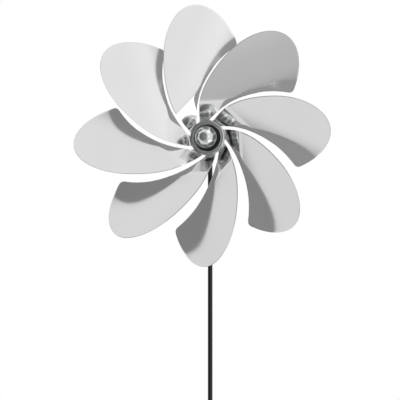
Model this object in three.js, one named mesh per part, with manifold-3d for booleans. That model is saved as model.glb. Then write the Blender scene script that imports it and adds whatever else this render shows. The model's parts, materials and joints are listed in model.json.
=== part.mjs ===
// Garden windmill: an eight-winged stainless wheel on one ball bearing, on a thin black rod
// that is pushed into the soil. Millimetres, +Z up. The origin is on the rod's axis at soil
// level, and the wheel faces -Y.
import * as THREE from "three";
import { mergeVertices } from "three/addons/utils/BufferGeometryUtils.js";
import Module from "manifold-3d";

const wasm = await Module();
wasm.setup();

// ---- driving dimensions ---------------------------------------------------------------------
const HUB_HEIGHT = 860; // wheel axis above the soil
const STAKE_DEPTH = 200; // rod below the soil
const ROD_R = 2.5;
const ROD_BEHIND = 12.6; // rod axis behind the middle of the wheel's sheet
const JOINT_HEIGHT = 340; // where the two rod sections meet
const POINT_LENGTH = 22; // ground point of the lower section

const WINGS = 8;
const SHEET = 0.8; // sheet thickness
const ROOT_R = 18.6; // the slots between the wings end here, under the front ring

// Each slot is a circular arc about a point SLOT_ARC_AT from the hub, in direction SLOT_ARC_TURN.
const SLOT_ARC_AT = 85.9;
const SLOT_ARC_TURN = rad(10.1);
const SLOT_OUTER_R = 96.9; // concave edge of a wing
const SLOT_INNER_R = 93.3; // lower convex edge of its neighbour
// The wing's outer outline is an ellipse that leans to the left.
const TIP_CENTRE = new THREE.Vector2(-2.2, 74.3);
const TIP_HALF_WIDTH = 42.6;
const TIP_HALF_LENGTH = 69.2;
const TIP_LEAN = rad(10.7);
const CORNER_R = 5; // where the ellipse meets the concave edge

// Outside the front ring each neck climbs, so the wings stand in front of the flat centre.
const CLIMB = 9.5;
const CLIMB_TURN = rad(136); // direction of the climb in the flat pattern
const CLIMB_FROM = 19.5; // distance from the wheel axis where it starts
const CLIMB_EASE_IN = 4;
const CLIMB_STRAIGHT = 14;
const CLIMB_EASE_OUT = 5;

// A wing is folded across its neck and rolled towards the front.
const FOLD_AT = 19.3; // distance of the fold line from the wheel axis
const FOLD_LEAN = rad(25.1); // generator direction, from the wing's up direction
const FOLD_ANGLE = rad(22);
const ROLL_R = 300; // radius of the roll beyond the fold

// Deep-groove ball bearing, 8 x 22 x 7, with its front face level with the sheet's middle.
const BORE_R = 4;
const BEARING_R = 11;
const BEARING_WIDTH = 7;
const BALL_R = 1.98;
const BALL_PITCH_R = 7.5;
const BALLS = 7;
const LAND_GAP = 1.2; // from the ball pitch circle to either ring's land
const GROOVE_R = BALL_R + 0.05;
const SHIELD_SEAT_R = 9.7;
const SHIELD_SEAT_DEPTH = 0.45;

const FIT = 0.05; // gap all round a piece that is pressed or screwed into another
const REST = 0.1; // gap between faces that rest on each other
const HUB_R = 13.5;
const HUB_FRONT = 1.9;
const HUB_BACK = -8;
const FLANGE_R = 18.2;
const FLANGE_THICKNESS = 2.1;
const CLIP_GROOVE_R = 11.8;
const CLIP_BACK = 0.2;
const CLIP_THICKNESS = 0.7;
const RING_R = 19.15;
const SCREW_PITCH_R = 16.1;
const SCREWS = 4;
const SCREW_R = 0.95;

const STUD_R = 2.45; // threaded front end of the axle
const TAIL_R = 2.95; // threaded rear end of the axle
const CAP_R = 12; // polished ball
const CAP_CENTRE = 7.5;
const CAP_BACK = 1.6;
const BLOCK_FRONT = -8.6;
const BLOCK_BACK = -17;
const BLOCK_HALF_WIDTH = 5;
const BLOCK_TOP = 8; // above the wheel axis
const BLOCK_BOTTOM = -18;
const ROD_TOP = -6;
const GRUB_R = 1.45;
const SLEEVE_R = 4;
const SLEEVE_HALF = 25;

function rad(degrees) {
  return (degrees * Math.PI) / 180;
}

// ---- solids -----------------------------------------------------------------------------------
function toSolid(geometry) {
  const g = geometry.clone();
  g.deleteAttribute("normal");
  g.deleteAttribute("uv");
  const merged = mergeVertices(g, 1e-4);
  return new wasm.Manifold(
    new wasm.Mesh({
      numProp: 3,
      vertProperties: merged.attributes.position.array,
      triVerts: new Uint32Array(merged.index.array),
    }),
  );
}

function toGeometry(solid) {
  const m = solid.getMesh();
  const g = new THREE.BufferGeometry();
  g.setAttribute("position", new THREE.BufferAttribute(m.vertProperties, 3));
  g.setIndex(new THREE.BufferAttribute(m.triVerts, 1));
  return g;
}

function joined(geometries) {
  return toGeometry(geometries.map(toSolid).reduce((a, b) => a.add(b)));
}

function cut(geometry, tools) {
  return toGeometry(tools.map(toSolid).reduce((a, b) => a.subtract(b), toSolid(geometry)));
}

// A turned solid about local Z from [radius, z] points that run upwards along its outside.
function turned(sides, profile) {
  const points = profile.map(([r, z]) => new THREE.Vector2(r, z));
  return new THREE.LatheGeometry(points, sides).rotateX(Math.PI / 2);
}

// A turned ring: its section's points run anticlockwise in the (radius, z) plane.
function turnedRing(sides, profile) {
  return turned(sides, [...profile, profile[0]]);
}

function washer(sides, inner, outer, z0, z1) {
  return turnedRing(sides, [[inner, z0], [outer, z0], [outer, z1], [inner, z1]]);
}

// A round bar about local Z.
function bar(r, z0, z1, sides) {
  return new THREE.CylinderGeometry(r, r, z1 - z0, sides)
    .rotateX(Math.PI / 2)
    .translate(0, 0, (z0 + z1) / 2);
}

function piece(name, geometry, [color, roughness, metalness]) {
  const m = new THREE.Mesh(geometry, new THREE.MeshStandardMaterial({ color, roughness, metalness }));
  m.name = name;
  return m;
}

const SATIN_STEEL = [0xd2d3d3, 0.3, 1];
const POLISHED_STEEL = [0xe4e4e4, 0.08, 1];
const BEARING_STEEL = [0xb9bcbf, 0.25, 1];
const BLACK_NYLON = [0x17181a, 0.55, 0];
const BLACK_LACQUER = [0x101113, 0.35, 0];
const BLACK_OXIDE = [0x1d1d1f, 0.45, 1];

// ---- wheel sheet: flat pattern -------------------------------------------------------------------
function polar(r, angle) {
  return new THREE.Vector2(r * Math.cos(angle), r * Math.sin(angle));
}

const SECTOR = (2 * Math.PI) / WINGS;
const concaveCentre = polar(SLOT_ARC_AT, SLOT_ARC_TURN);
const convexCentre = polar(SLOT_ARC_AT, SLOT_ARC_TURN + SECTOR);
const generator = new THREE.Vector2(Math.sin(FOLD_LEAN), Math.cos(FOLD_LEAN));
const across = new THREE.Vector2(-generator.y, generator.x);

const concavePoint = (angle) => polar(SLOT_OUTER_R, angle).add(concaveCentre);
const convexPoint = (angle) => polar(SLOT_INNER_R, angle).add(convexCentre);
const pastFold = (p) => p.dot(across) - FOLD_AT;

// A point of the tip ellipse: angle 0 is its right side, a quarter turn its far end.
function tipPoint(angle) {
  return new THREE.Vector2(TIP_HALF_WIDTH * Math.cos(angle), TIP_HALF_LENGTH * Math.sin(angle))
    .rotateAround(new THREE.Vector2(), TIP_LEAN)
    .add(TIP_CENTRE);
}

// Where value(x) changes sign between low and high, by halving.
function solve(value, low, high) {
  let [a, b] = [low, high];
  for (let i = 0; i < 50; i++) {
    const middle = (a + b) / 2;
    if (value(a) * value(middle) <= 0) b = middle;
    else a = middle;
  }
  return (a + b) / 2;
}

// Ends of a wing's first rows, as angles on its two slot arcs: on the fold, where the climb starts,
// and inside the flat centre.
const NECK_R = ROOT_R - 2.5;
const concaveFold = solve((t) => pastFold(concavePoint(t)), rad(168), rad(182));
const convexFold = solve((t) => pastFold(convexPoint(t)), rad(215), rad(228));
const concaveAway = (r) => solve((t) => concavePoint(t).length() - r, concaveFold, Math.PI + SLOT_ARC_TURN);
const convexAway = (r) => solve((t) => convexPoint(t).length() - r, convexFold, Math.PI + SLOT_ARC_TURN + SECTOR);

// The corner's circle touches the ellipse from inside and the concave arc from outside.
function cornerCentreAt(angle) {
  const along = tipPoint(angle + 1e-4).sub(tipPoint(angle - 1e-4));
  return tipPoint(angle).add(new THREE.Vector2(-along.y, along.x).setLength(CORNER_R));
}
const tipEnd = solve(
  (t) => cornerCentreAt(t).distanceTo(concaveCentre) - SLOT_OUTER_R - CORNER_R,
  0,
  rad(60),
);
const cornerCentre = cornerCentreAt(tipEnd);
const concaveEnd = cornerCentre.clone().sub(concaveCentre).angle();

// The convex side from the fold: up the slot arc, by a fair curve into the ellipse, round the tip
// and round the corner.
function convexSide() {
  const arcEnd = rad(193);
  const tipStart = rad(163);
  const arc = (u) => convexPoint(convexFold + (arcEnd - convexFold) * u);
  const tip = (u) => tipPoint(tipStart + (tipEnd - tipStart) * u);
  const reach = arc(1).distanceTo(tip(0)) / 3;
  const leave = arc(1).add(arc(1).sub(arc(0.999)).setLength(reach));
  const enter = tip(0).sub(tip(0.001).sub(tip(0)).setLength(reach));
  const fair = new THREE.CubicBezierCurve(arc(1), leave, enter, tip(0));
  const from = tipPoint(tipEnd).sub(cornerCentre).angle();
  const to = concaveCentre.clone().sub(cornerCentre).angle() - 2 * Math.PI;
  const corner = (u) => polar(CORNER_R, from + (to - from) * u).add(cornerCentre);
  const stretches = [[arc, 40], [(u) => fair.getPoint(u), 20], [tip, 120], [corner, 12]];
  const points = stretches.flatMap(([curve, n]) => Array.from({ length: n }, (_, i) => curve(i / n)));
  return byLength([...points, corner(1)]);
}

// Makes a dense run of points a function of the share of its length.
function byLength(points) {
  const lengths = [0];
  for (let i = 1; i < points.length; i++) {
    lengths.push(lengths[i - 1] + points[i].distanceTo(points[i - 1]));
  }
  return (share) => {
    const at = share * lengths[lengths.length - 1];
    const i = Math.max(1, lengths.findIndex((l) => l >= at));
    return points[i - 1].clone().lerp(points[i], (at - lengths[i - 1]) / (lengths[i] - lengths[i - 1]));
  };
}

const convexAt = convexSide();
const concaveAt = (share) => concavePoint(concaveFold + (concaveEnd - concaveFold) * share);

// ---- wheel sheet: fold and roll --------------------------------------------------------------------
// Height of the neck's climb at a flat point: its slope grows evenly, stays, and shrinks evenly.
function climb(p) {
  const past = p.dot(polar(1, CLIMB_TURN)) - CLIMB_FROM;
  const square = (start) => Math.max(past - start, 0) ** 2;
  const fade = CLIMB_EASE_IN + CLIMB_STRAIGHT;
  const grown = (square(0) - square(CLIMB_EASE_IN)) / CLIMB_EASE_IN;
  const shrunk = (square(fade) - square(fade + CLIMB_EASE_OUT)) / CLIMB_EASE_OUT;
  return (CLIMB * (grown - shrunk)) / (CLIMB_EASE_IN + 2 * CLIMB_STRAIGHT + CLIMB_EASE_OUT);
}

// Carries a point of the flat wing to its place. Past the fold the slope starts at FOLD_ANGLE and
// grows round ROLL_R; the corner, short of the fold, goes straight on.
function bent(p) {
  const before = Math.min(pastFold(p), 0);
  const slope = FOLD_ANGLE + Math.max(pastFold(p), 0) / ROLL_R;
  const run = ROLL_R * (Math.sin(slope) - Math.sin(FOLD_ANGLE)) + before * Math.cos(FOLD_ANGLE);
  const rise = ROLL_R * (Math.cos(FOLD_ANGLE) - Math.cos(slope)) + before * Math.sin(FOLD_ANGLE);
  const place = across.clone().multiplyScalar(FOLD_AT + run);
  place.addScaledVector(generator, p.dot(generator));
  return new THREE.Vector3(place.x, place.y, rise + climb(p));
}

const unbent = (p) => new THREE.Vector3(p.x, p.y, climb(p));

// A point of the bent sheet with the sheet's normal there, from points a small step to each side.
function withNormal(p, place) {
  const step = (x, y) => place(p.clone().add(new THREE.Vector2(x, y)));
  const h = 0.05;
  const up = step(h, 0).sub(step(-h, 0)).cross(step(0, h).sub(step(0, -h))).normalize();
  return { at: place(p), up };
}

const rolled = (p) => withNormal(p, bent);

// On the fold line the two sides share a mitred edge.
function onFold(p) {
  const middle = withNormal(p, unbent).up.add(rolled(p.clone().addScaledVector(across, 0.1)).up);
  return { at: unbent(p), up: middle.normalize().divideScalar(Math.cos(FOLD_ANGLE / 2)) };
}

function inCentre(p) {
  return { at: new THREE.Vector3(p.x, p.y, 0), up: new THREE.Vector3(0, 0, 1) };
}

// One wing as a closed body: rows run from the concave to the convex edge, from inside the flat
// centre over the fold to the corner, where the last row closes on one point.
function wing() {
  const rows = 30;
  const columns = 7;
  const line = (a, b, place) =>
    Array.from({ length: columns + 1 }, (_, j) => place(a.clone().lerp(b, j / columns)));
  const inner = (r) => line(concavePoint(concaveAway(r)), convexPoint(convexAway(r)), inCentre);
  const grid = [inner(NECK_R), inner(CLIMB_FROM)];
  for (let i = 0; i < rows; i++) {
    grid.push(line(concaveAt(i / rows), convexAt(i / rows), i ? rolled : onFold));
  }
  grid.push(line(concaveAt(1), concaveAt(1), rolled));

  const position = [];
  const index = [];
  for (const side of [1, -1]) {
    for (const { at, up } of grid.flat()) {
      position.push(...at.clone().addScaledVector(up, (side * SHEET) / 2).toArray());
    }
  }
  const half = grid.length * (columns + 1);
  const id = (i, j) => i * (columns + 1) + j;
  const strip = (a, b) => index.push(a, a + half, b, b, a + half, b + half);
  for (let i = 0; i + 1 < grid.length; i++) {
    for (let j = 0; j < columns; j++) {
      const [a, b, c, d] = [id(i, j), id(i + 1, j), id(i + 1, j + 1), id(i, j + 1)];
      index.push(a, b, c, a, c, d);
      index.push(c + half, b + half, a + half, d + half, c + half, a + half);
    }
    strip(id(i, 0), id(i + 1, 0));
    strip(id(i + 1, columns), id(i, columns));
  }
  for (let j = 0; j < columns; j++) strip(id(0, j + 1), id(0, j));
  const g = new THREE.BufferGeometry();
  g.setAttribute("position", new THREE.BufferAttribute(new Float32Array(position), 3));
  g.setIndex(index);
  return g;
}

function aroundAxis(count, make) {
  return Array.from({ length: count }, (_, k) => make().rotateZ((k * 2 * Math.PI) / count));
}

const screwBar = (r, z0, z1) => bar(r, z0, z1, 12).translate(SCREW_PITCH_R, 0, 0);
const screwHoles = (z0, z1) => aroundAxis(SCREWS, () => screwBar(SCREW_R + FIT, z0, z1));

function wheelSheet() {
  const centre = bar(ROOT_R, -SHEET / 2, SHEET / 2, 64);
  const holes = [bar(HUB_R + 2 * FIT, -1, 1, 48), ...screwHoles(-1, 1)];
  return cut(joined([centre, ...aroundAxis(WINGS, wing)]), holes);
}

// ---- hub, turning with the wheel ---------------------------------------------------------------------
const SHEET_FRONT = SHEET / 2 + REST;
const SHEET_BACK = -SHEET / 2 - REST;

// Low-domed ring that clamps the sheet from the front; the screws end in it.
function frontRing() {
  const inner = 13.9;
  const section = [
    [inner, SHEET_FRONT],
    [RING_R, SHEET_FRONT],
    [RING_R, 1],
    [18.4, 1.75],
    [16.9, 2.25],
    [15.6, 2.2],
    [14.4, 1.7],
    [inner, 1.2],
  ];
  return cut(turnedRing(48, section), screwHoles(0, 1.6));
}

// Barrel with the bearing seat, a groove for the clip, a rear lip and the flange behind the sheet.
function hubBody() {
  const seat = BEARING_R + FIT;
  const lip = 9.5;
  const clipFront = CLIP_BACK + CLIP_THICKNESS;
  const section = [
    [lip, HUB_BACK],
    [HUB_R - 0.5, HUB_BACK],
    [HUB_R, SHEET_BACK - FLANGE_THICKNESS],
    [FLANGE_R, SHEET_BACK - FLANGE_THICKNESS],
    [FLANGE_R, SHEET_BACK],
    [HUB_R, SHEET_BACK],
    [HUB_R, HUB_FRONT],
    [seat, HUB_FRONT],
    [seat, clipFront + FIT],
    [CLIP_GROOVE_R, clipFront + FIT],
    [CLIP_GROOVE_R, CLIP_BACK - FIT],
    [seat, CLIP_BACK - FIT],
    [seat, -BEARING_WIDTH - REST],
    [lip, -BEARING_WIDTH - REST],
  ];
  return cut(turnedRing(36, section), screwHoles(-4, 0));
}

// Internal retaining ring: open at the bottom, with two eyes for the pliers.
function bearingClip() {
  const outer = CLIP_GROOVE_R - FIT;
  const inner = 10.3;
  const gap = rad(14);
  const start = gap - Math.PI / 2;
  const end = -gap - Math.PI / 2 + 2 * Math.PI;
  const shape = new THREE.Shape();
  shape.absarc(0, 0, outer, start, end, false);
  shape.absarc(0, 0, inner, end, start, true);
  const body = { depth: CLIP_THICKNESS, bevelEnabled: false, curveSegments: 24 };
  const ring = new THREE.ExtrudeGeometry(shape, body).translate(0, 0, CLIP_BACK);
  const eye = (angle) => {
    const at = polar(10, angle);
    return washer(14, 0.45, 1.1, CLIP_BACK, CLIP_BACK + CLIP_THICKNESS).translate(at.x, at.y, 0);
  };
  return joined([ring, eye(start + rad(3)), eye(end - rad(3))]);
}

function hubScrew() {
  const head = SHEET_BACK - FLANGE_THICKNESS - FIT;
  const section = [
    [0, head - 1.2],
    [1.2, head - 1.2],
    [1.7, head - 0.7],
    [1.7, head],
    [SCREW_R, head],
    [SCREW_R, 1.1],
    [0, 1.5],
  ];
  const slot = new THREE.BoxGeometry(4, 0.45, 0.9).translate(0, 0, head - 1.2);
  return cut(turned(14, section), [slot]).translate(SCREW_PITCH_R, 0, 0);
}

// ---- bearing ----------------------------------------------------------------------------------------------
// The ball groove's arc in the (radius, z) plane, from one land edge to the other.
function groove(side) {
  const edge = Math.acos(LAND_GAP / GROOVE_R);
  const steps = 4;
  return Array.from({ length: steps + 1 }, (_, i) => {
    const t = -edge + (2 * edge * i) / steps;
    return [
      BALL_PITCH_R + side * GROOVE_R * Math.cos(t),
      -BEARING_WIDTH / 2 + GROOVE_R * Math.sin(t),
    ];
  });
}

function bearingOuter() {
  const land = BALL_PITCH_R + LAND_GAP;
  const back = -BEARING_WIDTH;
  const section = [
    [SHIELD_SEAT_R, back],
    [BEARING_R, back],
    [BEARING_R, 0],
    [SHIELD_SEAT_R, 0],
    [SHIELD_SEAT_R, -SHIELD_SEAT_DEPTH],
    [land, -SHIELD_SEAT_DEPTH],
    ...groove(1).reverse(),
    [land, back + SHIELD_SEAT_DEPTH],
    [SHIELD_SEAT_R, back + SHIELD_SEAT_DEPTH],
  ];
  return turnedRing(36, section);
}

function bearingInner() {
  const land = BALL_PITCH_R - LAND_GAP;
  const section = [
    [BORE_R, -BEARING_WIDTH],
    [land - 0.3, -BEARING_WIDTH],
    [land, 0.3 - BEARING_WIDTH],
    ...groove(-1),
    [land, -0.3],
    [land - 0.3, 0],
    [BORE_R, 0],
  ];
  return turnedRing(28, section);
}

function bearingShield(front) {
  const z = front ? -SHIELD_SEAT_DEPTH + FIT : -BEARING_WIDTH + FIT;
  return washer(28, BALL_PITCH_R - LAND_GAP + 0.25, SHIELD_SEAT_R - FIT, z, z + SHIELD_SEAT_DEPTH - 2 * FIT);
}

// The balls and the cage ring that carries them round.
function ballCage() {
  const middle = -BEARING_WIDTH / 2;
  const ball = () =>
    new THREE.SphereGeometry(BALL_R, 8, 6).translate(BALL_PITCH_R, 0, middle);
  const band = washer(28, BALL_PITCH_R - 0.5, BALL_PITCH_R + 0.5, middle - 0.6, middle + 0.6);
  return joined([band, ...aroundAxis(BALLS, ball)]);
}

// ---- head, fixed to the rod ----------------------------------------------------------------------------------
// Stud with a bearing journal; the ball screws on in front, the nut behind.
function axle() {
  const section = [
    [0, -23.5],
    [TAIL_R - 0.5, -23.5],
    [TAIL_R, -23],
    [TAIL_R, -BEARING_WIDTH],
    [BORE_R - FIT, -BEARING_WIDTH],
    [BORE_R - FIT, 0],
    [STUD_R, 0],
    [STUD_R, 8.6],
    [STUD_R - 0.5, 9.1],
    [0, 9.1],
  ];
  return turned(24, section);
}

function polishedBall() {
  const steps = 10;
  const start = -Math.asin((CAP_CENTRE - CAP_BACK) / CAP_R);
  const arc = Array.from({ length: steps + 1 }, (_, i) => {
    const t = start + ((Math.PI / 2 - start) * i) / steps;
    return [i === steps ? 0 : CAP_R * Math.cos(t), CAP_CENTRE + CAP_R * Math.sin(t)];
  });
  const hole = STUD_R + FIT;
  return turned(36, [[0, 9.6], [hole, 9.2], [hole, CAP_BACK], ...arc]);
}

function frontSpacer() {
  return washer(28, STUD_R + FIT, 5.6, REST, CAP_BACK - REST);
}

function rearSpacer() {
  return washer(28, TAIL_R + FIT, 5.6, BLOCK_FRONT + REST, -BEARING_WIDTH - REST);
}

// Upright block with a round top: the axle passes through it, and the rod enters from below.
function headBlock() {
  const bevel = 0.6;
  const w = BLOCK_HALF_WIDTH - bevel;
  const bottom = BLOCK_BOTTOM + bevel;
  const top = BLOCK_TOP - bevel;
  const shape = new THREE.Shape();
  shape.moveTo(-w, bottom);
  shape.lineTo(w, bottom);
  shape.absarc(0, top - w, w, 0, Math.PI, false);
  shape.closePath();
  const depth = BLOCK_FRONT - BLOCK_BACK - 2 * bevel;
  const options = { depth, bevelSize: bevel, bevelThickness: bevel, bevelSegments: 1, curveSegments: 10 };
  const body = new THREE.ExtrudeGeometry(shape, options).translate(0, 0, BLOCK_BACK + bevel);
  return cut(body, [
    bar(TAIL_R + 2 * FIT, BLOCK_BACK - 1, BLOCK_FRONT + 1, 24),
    upright(ROD_R + 2 * FIT, BLOCK_BOTTOM - 1, ROD_TOP + 0.5, 24),
    bar(GRUB_R + FIT, BLOCK_BACK - 1, -ROD_BEHIND, 16).translate(0, -12, 0),
  ]);
}

// A round bar along local Y, on the rod's axis.
function upright(r, y0, y1, sides) {
  return new THREE.CylinderGeometry(r, r, y1 - y0, sides).translate(0, (y0 + y1) / 2, -ROD_BEHIND);
}

// Socket-headless screw along local Z, its hexagon socket at the low end.
function grubScrew(length) {
  const body = bar(GRUB_R, 0, length, 16);
  return cut(body, [bar(0.85, -1, 1.3, 6)]);
}

function axleNut() {
  const corner = 5 / Math.cos(Math.PI / 6);
  const z = BLOCK_BACK - 1.4;
  return cut(bar(corner, z - 4.8, z, 6), [bar(TAIL_R + FIT, z - 6, z + 1, 24)]);
}

function nutWasher() {
  return washer(28, TAIL_R + 2 * FIT, 6, BLOCK_BACK - 1.3, BLOCK_BACK - REST);
}

// ---- rod, in the object's own frame ----------------------------------------------------------------------------
function upperRod() {
  const section = [
    [0, JOINT_HEIGHT + REST],
    [ROD_R, JOINT_HEIGHT + REST],
    [ROD_R, HUB_HEIGHT + ROD_TOP - 0.4],
    [ROD_R - 0.4, HUB_HEIGHT + ROD_TOP],
    [0, HUB_HEIGHT + ROD_TOP],
  ];
  return turned(24, section);
}

function lowerRod() {
  const section = [
    [0, -STAKE_DEPTH],
    [0.5, 0.4 - STAKE_DEPTH],
    [ROD_R, POINT_LENGTH - STAKE_DEPTH],
    [ROD_R, JOINT_HEIGHT - REST],
    [0, JOINT_HEIGHT - REST],
  ];
  return turned(24, section);
}

const SLEEVE_SCREW_AT = 14; // from the sleeve's middle to each of its screws

function rodSleeve() {
  const bevel = 0.5;
  const section = [
    [ROD_R + 2 * FIT, -SLEEVE_HALF],
    [SLEEVE_R - bevel, -SLEEVE_HALF],
    [SLEEVE_R, bevel - SLEEVE_HALF],
    [SLEEVE_R, SLEEVE_HALF - bevel],
    [SLEEVE_R - bevel, SLEEVE_HALF],
    [ROD_R + 2 * FIT, SLEEVE_HALF],
  ];
  const hole = (z) => bar(GRUB_R + FIT, 0, SLEEVE_R + 1, 16).rotateX(-Math.PI / 2).translate(0, 0, z);
  const holes = [hole(-SLEEVE_SCREW_AT), hole(SLEEVE_SCREW_AT)];
  return cut(turnedRing(20, section), holes).translate(0, 0, JOINT_HEIGHT);
}

// ---- assembly ---------------------------------------------------------------------------------------------------
const windmill = new THREE.Group();

// Everything on the wheel axis is built along local Z, which points to the front.
const head = new THREE.Group();
head.position.set(0, -ROD_BEHIND, HUB_HEIGHT);
head.rotation.x = Math.PI / 2;
windmill.add(head);

const wheel = new THREE.Group();
head.add(wheel);
wheel.add(
  piece("wheel_sheet", wheelSheet(), SATIN_STEEL),
  piece("hub_front_ring", frontRing(), SATIN_STEEL),
  piece("hub_body", hubBody(), BLACK_NYLON),
  piece("bearing_clip", bearingClip(), BLACK_OXIDE),
  piece("bearing_outer_ring", bearingOuter(), BEARING_STEEL),
  piece("bearing_front_shield", bearingShield(true), BEARING_STEEL),
  piece("bearing_rear_shield", bearingShield(false), BEARING_STEEL),
);
for (let k = 0; k < SCREWS; k++) {
  const screw = piece("hub_screw_" + (k + 1), hubScrew(), SATIN_STEEL);
  screw.rotation.z = (k * 2 * Math.PI) / SCREWS;
  wheel.add(screw);
}

head.add(
  piece("bearing_ball_cage", ballCage(), POLISHED_STEEL),
  piece("bearing_inner_ring", bearingInner(), BEARING_STEEL),
  piece("axle", axle(), SATIN_STEEL),
  piece("front_spacer", frontSpacer(), SATIN_STEEL),
  piece("polished_ball", polishedBall(), POLISHED_STEEL),
  piece("rear_spacer", rearSpacer(), BLACK_NYLON),
  piece("head_block", headBlock(), BLACK_NYLON),
  piece("nut_washer", nutWasher(), SATIN_STEEL),
  piece("axle_nut", axleNut(), SATIN_STEEL),
);
const headGrub = piece("head_grub_screw", grubScrew(3.2), BLACK_OXIDE);
headGrub.position.set(0, -12, -ROD_BEHIND - ROD_R - REST - 3.2);
head.add(headGrub);

windmill.add(
  piece("rod_upper", upperRod(), BLACK_LACQUER),
  piece("rod_sleeve", rodSleeve(), BLACK_LACQUER),
  piece("rod_lower", lowerRod(), BLACK_LACQUER),
);
for (const [name, side] of [["sleeve_screw_upper", 1], ["sleeve_screw_lower", -1]]) {
  const screw = piece(name, grubScrew(2.4), BLACK_OXIDE);
  screw.rotation.x = Math.PI / 2;
  screw.position.set(0, ROD_R + REST + 2.4, JOINT_HEIGHT + side * SLEEVE_SCREW_AT);
  windmill.add(screw);
}

export default windmill;
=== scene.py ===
import json
from math import acos, asin, atan2, cos, hypot, pi, radians, sin, tan

import bmesh
import bpy
import numpy as np
from mathutils import Euler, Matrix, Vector


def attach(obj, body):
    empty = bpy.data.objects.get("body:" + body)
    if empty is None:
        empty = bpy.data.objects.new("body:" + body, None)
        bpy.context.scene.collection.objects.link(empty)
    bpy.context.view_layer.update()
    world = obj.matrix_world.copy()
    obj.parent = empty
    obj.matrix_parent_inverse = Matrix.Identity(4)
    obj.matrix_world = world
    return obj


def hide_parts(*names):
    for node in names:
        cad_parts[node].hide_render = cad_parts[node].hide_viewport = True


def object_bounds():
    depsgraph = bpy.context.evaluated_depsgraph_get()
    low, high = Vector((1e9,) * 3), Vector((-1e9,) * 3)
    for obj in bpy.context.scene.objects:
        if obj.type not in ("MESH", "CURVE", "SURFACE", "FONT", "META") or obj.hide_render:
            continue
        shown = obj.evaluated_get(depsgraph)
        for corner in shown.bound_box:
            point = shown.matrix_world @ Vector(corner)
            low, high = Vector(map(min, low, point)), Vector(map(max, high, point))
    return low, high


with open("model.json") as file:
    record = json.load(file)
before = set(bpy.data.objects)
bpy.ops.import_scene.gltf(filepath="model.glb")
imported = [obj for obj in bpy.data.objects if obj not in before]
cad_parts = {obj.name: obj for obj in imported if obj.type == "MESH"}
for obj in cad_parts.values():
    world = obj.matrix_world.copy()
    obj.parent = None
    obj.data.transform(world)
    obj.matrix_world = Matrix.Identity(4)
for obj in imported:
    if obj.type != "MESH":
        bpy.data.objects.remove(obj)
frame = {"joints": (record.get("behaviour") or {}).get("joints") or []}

cad_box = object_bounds()

# ---- studio ------------------------------------------------------------------------------------
# A long lens a little to the right of the wheel's axis and below it, a pale floor under the ground
# point, and light from a white tent that stands open, and so is dark, in front of the wheel.
hub = Vector(frame["joints"][0]["pos_m"])


def direction(azimuth, elevation):
    """Unit vector seen from the wheel: azimuth turns from the front (-Y) towards +X, elevation is up."""
    a, e = radians(azimuth), radians(elevation)
    return Vector((cos(e) * sin(a), -cos(e) * cos(a), sin(e)))


def linear(hex_colour):
    """sRGB hex to a linear RGBA: below 0.04045 divide by 12.92, above it ((c + 0.055) / 1.055) ** 2.4."""
    c = np.array([int(hex_colour[i:i + 2], 16) / 255 for i in (1, 3, 5)])
    c = np.where(c <= 0.04045, c / 12.92, ((c + 0.055) / 1.055) ** 2.4)
    return (*c.tolist(), 1.0)


def node(tree, kind, settings=(), **links):
    """Adds a node. Settings are attributes or input values by name, links are sockets by input name;
    a number, or i and a number, is an input's place."""
    n = tree.nodes.new(kind)
    for key, value in dict(settings).items():
        if hasattr(n, key):
            setattr(n, key, value)
        else:
            n.inputs[int(key) if key.isdigit() else key].default_value = value
    for key, source in links.items():
        key = key.replace("_", " ")
        tree.links.new(source, n.inputs[int(key[1:]) if key[0] == "i" and key[1:].isdigit() else key])
    return n


MM = 0.001
CLIMB = 9.5  # the wings stand this far in front of the sheet's flat centre, in mm
CAMERA_AWAY = 3.395
wings_at = hub - Vector((0, CLIMB * MM, 0))
back = direction(13.03, -5.09)
camera_data = bpy.data.cameras.new("camera")
camera_data.sensor_width = 36
camera_data.lens = 284.9
camera_data.clip_end = 50
camera = bpy.data.objects.new("camera", camera_data)
camera.location = wings_at + CAMERA_AWAY * back
level = back.to_track_quat("Z", "Y").to_matrix()
framing = Euler((radians(-1.139), radians(0.1005), 0)).to_matrix()  # the wheel stands high in frame
camera.rotation_euler = (level @ framing).to_euler()
bpy.context.collection.objects.link(camera)
bpy.context.scene.camera = camera
bpy.context.scene.view_settings.view_transform = "Standard"

FLOOR_HALF = 4.0
floor_z = cad_box[0][2] - 1 * MM
floor_mesh = bpy.data.meshes.new("floor")
floor_mesh.from_pydata(
    [(x * FLOOR_HALF, y * FLOOR_HALF, floor_z) for x, y in ((-1, -1), (1, -1), (1, 1), (-1, 1))],
    [], [(0, 1, 2, 3)])
floor = bpy.data.objects.new("floor", floor_mesh)
bpy.context.collection.objects.link(floor)
floor.visible_glossy = False  # polished steel shows the tent alone
floor_paint = bpy.data.materials.new("pale_floor_paint")
floor_paint.use_nodes = True
floor_paint.node_tree.nodes["Principled BSDF"].inputs["Base Color"].default_value = linear("#e6e6e6")
floor_paint.node_tree.nodes["Principled BSDF"].inputs["Roughness"].default_value = 0.7
floor_mesh.materials.append(floor_paint)

# Brightness of the tent in the middle, its gain to the right and its gain upwards.
WALL = (0.95, 0.085, 0.0)
OPENING = (0.3, 0.2, 0.0)
REAR = (0.46, 0.1, 0.05)
OPENING_AT = (-16, 4)  # azimuth and elevation, degrees
OPENING_EDGE = (38, 50)  # where it is full and where it has gone
REAR_EDGE = (-0.1, 0.3)  # where it begins and is full, as the part of a direction along +Y
# Direction, angles where a patch is full and where it has gone, and what it adds: a lit panel right
# of the camera, the shade low in front, and two small lamps on the right.
SOFT_PATCHES = [((32, 4), 0, 24, 0.25), ((6, -38), 0, 36, -0.35),
                ((50, 50), 6, 14, 0.9), ((62, -42), 6, 18, 1.2)]


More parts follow.
